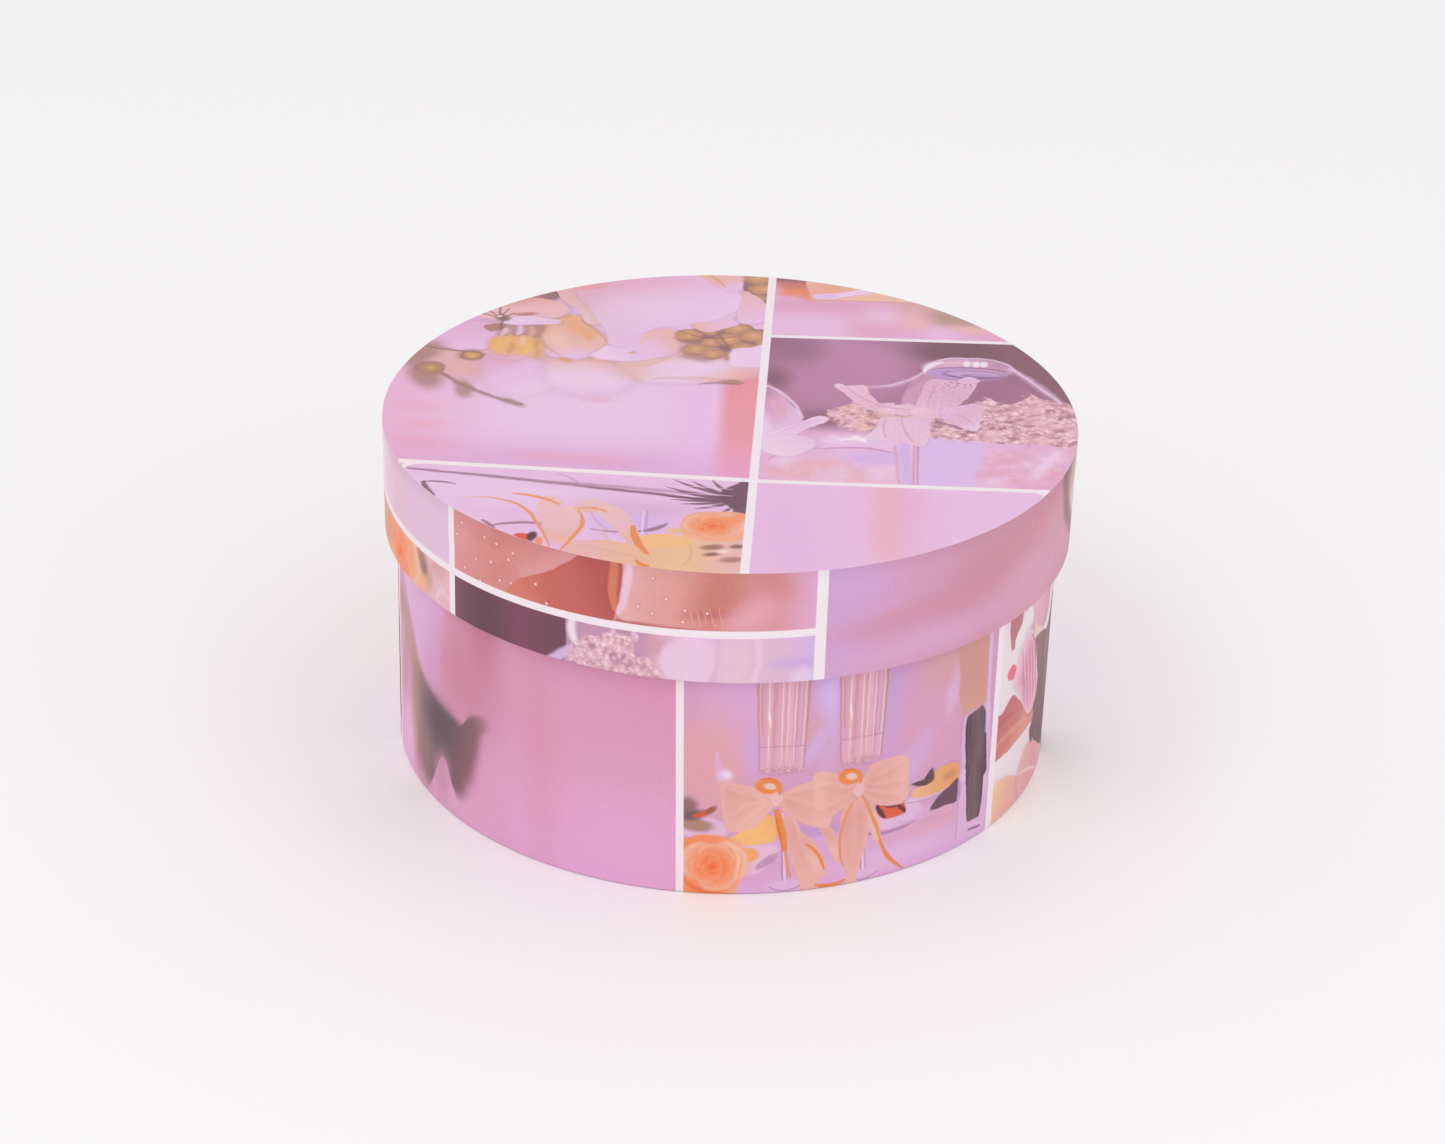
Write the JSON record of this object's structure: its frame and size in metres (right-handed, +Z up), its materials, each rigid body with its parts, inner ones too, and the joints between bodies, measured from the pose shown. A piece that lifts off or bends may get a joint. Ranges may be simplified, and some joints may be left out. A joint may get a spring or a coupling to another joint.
{
  "type": "hat box",
  "caption": "Round greyboard hat box with a deep-rimmed lift-off lid, wrapped in printed paper outside and lined with plain paper inside.",
  "frame": {"origin": "middle of the underside of the closed box", "axes": "+Z up along the axis of the box and its lid, -Y to the front, +Y to the lapped seams of the wraps"},
  "size_m": [0.26, 0.2602, 0.134],
  "materials": {
    "greyboard": "matte",
    "gummed_tape": "satin",
    "base_print": "satin",
    "lid_rim_print": "satin",
    "lid_top_print": "satin",
    "lining_paper": "matte"
  },
  "bodies": {
    "box": {"base_wall_board": "greyboard", "base_joint_tape": "gummed_tape", "base_floor_board": "greyboard", "base_outer_wrap": "base_print", "base_wall_lining": "lining_paper", "base_floor_lining": "lining_paper", "base_bottom_sheet": "lining_paper"},
    "lid": {"lid_top_board": "greyboard", "lid_rim_board": "greyboard", "lid_joint_tape": "gummed_tape", "lid_top_paper": "lid_top_print", "lid_rim_wrap": "lid_rim_print", "lid_rim_lining": "lining_paper", "lid_ceiling_lining": "lining_paper"}
  },
  "joints": [
    {"name": "lid_lift", "type": "slide", "parent": "box", "child": "lid", "axis": [0, 0, 1], "range_m": [0, 0.15]}
  ]
}
